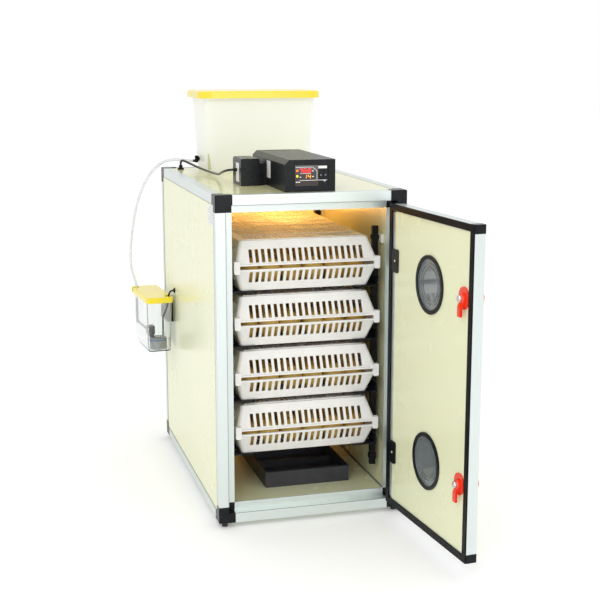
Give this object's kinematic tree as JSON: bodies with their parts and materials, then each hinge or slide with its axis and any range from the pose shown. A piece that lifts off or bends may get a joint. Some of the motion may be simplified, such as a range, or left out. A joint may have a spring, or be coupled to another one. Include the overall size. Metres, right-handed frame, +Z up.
{
  "type": "egg incubator",
  "caption": "Tall cabinet egg incubator with a hinged porthole door, tilting covered egg trays, roof water tank and control box, and a mist cup on one side.",
  "frame": {"origin": "on the floor, at the centre of the four feet and of the cabinet's plan", "axes": "+X to the right seen from the front, +Y to the back, +Z up; the door opens to -Y"},
  "size_m": [0.4949, 1.0021, 0.853],
  "materials": {
    "profile": "anodised, satin",
    "black_moulding": "fine moulded texture",
    "panel": "smooth cream sandwich-panel skin",
    "rubber_foot": "matte",
    "hinge_black": "black, satin",
    "black_sheet": "black powder coat",
    "adapter_black": "moulded",
    "cable_black": "smooth PVC sheath",
    "tank_plastic": "milky translucent polypropylene",
    "hose_clear": "clear tube",
    "clear_plastic": "clear, glossy",
    "mist_grey": "moulded grey",
    "rack_black": "black coated steel",
    "motor_grey": "cast grey",
    "heater_steel": "heat-tinted steel",
    "sensor_steel": "satin",
    "white_moulding": "moulded",
    "gasket": "soft black foam rubber",
    "latch_red": "glossy moulded",
    "tray_white": "white polyethylene",
    "yellow_lid": "glossy moulded",
    "pan_grey": "moulded",
    "button_black": "matte"
  },
  "bodies": {
    "cabinet": {"frame_profiles": "profile", "corner_connectors": "black_moulding", "left_panel": "panel", "right_panel": "panel", "roof_panel": "panel", "floor_panel": "panel", "rear_panel": "panel", "feet": "rubber_foot", "hinge_frame_leaves": "hinge_black", "cable_glands": "black_moulding", "control_box_shell": "black_sheet", "control_box_front": "black_moulding", "adapter_box": "adapter_black", "adapter_cable": "cable_black", "water_tank": "tank_plastic", "tank_outlet_elbow": "black_moulding", "water_hose": "hose_clear", "mist_cup": "clear_plastic", "cup_hanger": "black_sheet", "mist_maker": "mist_grey", "float_valve": "black_moulding", "mist_cable": "cable_black", "rear_post": "rack_black", "turning_motor": "motor_grey", "fan_housing": "rack_black", "heater_element": "heater_steel", "temperature_sensor": "sensor_steel", "rack_guides": "white_moulding"},
    "door": {"door_profiles": "profile", "door_corners": "black_moulding", "door_panel": "panel", "door_gasket": "gasket", "porthole_rings": "black_moulding", "porthole_glazing": "clear_plastic", "hinge_door_leaves": "hinge_black", "latch_bases": "latch_red"},
    "latch_upper": {"latch_knob_upper": "latch_red", "latch_cam_upper": "latch_red"},
    "latch_lower": {"latch_knob_lower": "latch_red", "latch_cam_lower": "latch_red"},
    "link_left": {"link_bar_left": "rack_black"},
    "link_right": {"link_bar_right": "rack_black"},
    "tank_cover": {"tank_lid": "yellow_lid"},
    "cup_cover": {"cup_lid": "yellow_lid"},
    "drip_pan": {"floor_pan": "pan_grey"},
    "fan": {"fan_rotor": "rack_black"},
    "up_key": {"button_up": "button_black"},
    "down_key": {"button_down": "button_black"},
    "cradle_1": {"carrier_1": "rack_black"},
    "tray_1": {"tray_base_1": "tray_white"},
    "cover_1": {"tray_lid_1": "tray_white"},
    "cradle_2": {"carrier_2": "rack_black"},
    "tray_2": {"tray_base_2": "tray_white"},
    "cover_2": {"tray_lid_2": "tray_white"},
    "cradle_3": {"carrier_3": "rack_black"},
    "tray_3": {"tray_base_3": "tray_white"},
    "cover_3": {"tray_lid_3": "tray_white"},
    "cradle_4": {"carrier_4": "rack_black"},
    "tray_4": {"tray_base_4": "tray_white"},
    "cover_4": {"tray_lid_4": "tray_white"}
  },
  "joints": [
    {"name": "door_hinge", "type": "hinge", "parent": "cabinet", "child": "door", "pos_m": [0.178, -0.327, 0.339], "axis": [0, 0, 1], "range_deg": [-95, 75]},
    {"name": "latch_upper_turn", "type": "hinge", "parent": "door", "child": "latch_upper", "pos_m": [0.19227, -0.64497, 0.514], "axis": [-0.9962, -0.0872, 0], "range_deg": [0, 90]},
    {"name": "latch_lower_turn", "type": "hinge", "parent": "door", "child": "latch_lower", "pos_m": [0.19227, -0.64497, 0.172], "axis": [-0.9962, -0.0872, 0], "range_deg": [0, 90]},
    {"name": "rack_tilt", "type": "hinge", "parent": "cabinet", "child": "cradle_1", "pos_m": [0, 0, 0.5215], "axis": [0, 1, 0], "range_deg": [-15, 15]},
    {"name": "tray_1_slide", "type": "slide", "parent": "cradle_1", "child": "tray_1", "axis": [0, -1, 0], "range_m": [0, 0.56]},
    {"name": "cover_1_lift", "type": "slide", "parent": "tray_1", "child": "cover_1", "axis": [0, 0, 1], "range_m": [0, 0.035]},
    {"name": "cradle_2_tilt", "type": "hinge", "parent": "cabinet", "child": "cradle_2", "pos_m": [0, 0, 0.409], "axis": [0, 1, 0], "range_deg": [-15, 15]},
    {"name": "tray_2_slide", "type": "slide", "parent": "cradle_2", "child": "tray_2", "axis": [0, -1, 0], "range_m": [0, 0.56]},
    {"name": "cover_2_lift", "type": "slide", "parent": "tray_2", "child": "cover_2", "axis": [0, 0, 1], "range_m": [0, 0.003]},
    {"name": "cradle_3_tilt", "type": "hinge", "parent": "cabinet", "child": "cradle_3", "pos_m": [0, 0, 0.2965], "axis": [0, 1, 0], "range_deg": [-15, 15]},
    {"name": "tray_3_slide", "type": "slide", "parent": "cradle_3", "child": "tray_3", "axis": [0, -1, 0], "range_m": [0, 0.56]},
    {"name": "cover_3_lift", "type": "slide", "parent": "tray_3", "child": "cover_3", "axis": [0, 0, 1], "range_m": [0, 0.003]},
    {"name": "cradle_4_tilt", "type": "hinge", "parent": "cabinet", "child": "cradle_4", "pos_m": [0, 0, 0.184], "axis": [0, 1, 0], "range_deg": [-15, 15]},
    {"name": "tray_4_slide", "type": "slide", "parent": "cradle_4", "child": "tray_4", "axis": [0, -1, 0], "range_m": [0, 0.56]},
    {"name": "cover_4_lift", "type": "slide", "parent": "tray_4", "child": "cover_4", "axis": [0, 0, 1], "range_m": [0, 0.003]},
    {"name": "link_left_swing", "type": "hinge", "parent": "cradle_1", "child": "link_left", "pos_m": [-0.16, -0.014, 0.5215], "axis": [0, 1, 0], "range_deg": [-15, 15]},
    {"name": "link_right_swing", "type": "hinge", "parent": "cradle_1", "child": "link_right", "pos_m": [0.16, -0.014, 0.5215], "axis": [0, 1, 0], "range_deg": [-15, 15]},
    {"name": "tank_cover_lift", "type": "slide", "parent": "cabinet", "child": "tank_cover", "axis": [0, 0, 1], "range_m": [0, 0.1]},
    {"name": "cup_cover_lift", "type": "slide", "parent": "cabinet", "child": "cup_cover", "axis": [0, 0, 1], "range_m": [0, 0.05]},
    {"name": "drip_pan_slide", "type": "slide", "parent": "cabinet", "child": "drip_pan", "axis": [0, -1, 0], "range_m": [0, 0.1]},
    {"name": "fan_spin", "type": "hinge", "parent": "cabinet", "child": "fan", "pos_m": [-0.038, 0.265, 0.596], "axis": [0, 1, 0], "continuous": true},
    {"name": "up_key_press", "type": "slide", "parent": "cabinet", "child": "up_key", "axis": [0, 1, 0], "range_m": [0, 0.001], "stiffness_N_per_m": 600},
    {"name": "down_key_press", "type": "slide", "parent": "cabinet", "child": "down_key", "axis": [0, 1, 0], "range_m": [0, 0.001], "stiffness_N_per_m": 600}
  ],
  "couplings": [
    {"joint": "cradle_2_tilt", "follows": "rack_tilt", "ratio": 1},
    {"joint": "cradle_3_tilt", "follows": "rack_tilt", "ratio": 1},
    {"joint": "cradle_4_tilt", "follows": "rack_tilt", "ratio": 1},
    {"joint": "link_left_swing", "follows": "rack_tilt", "ratio": -1},
    {"joint": "link_right_swing", "follows": "rack_tilt", "ratio": -1}
  ]
}
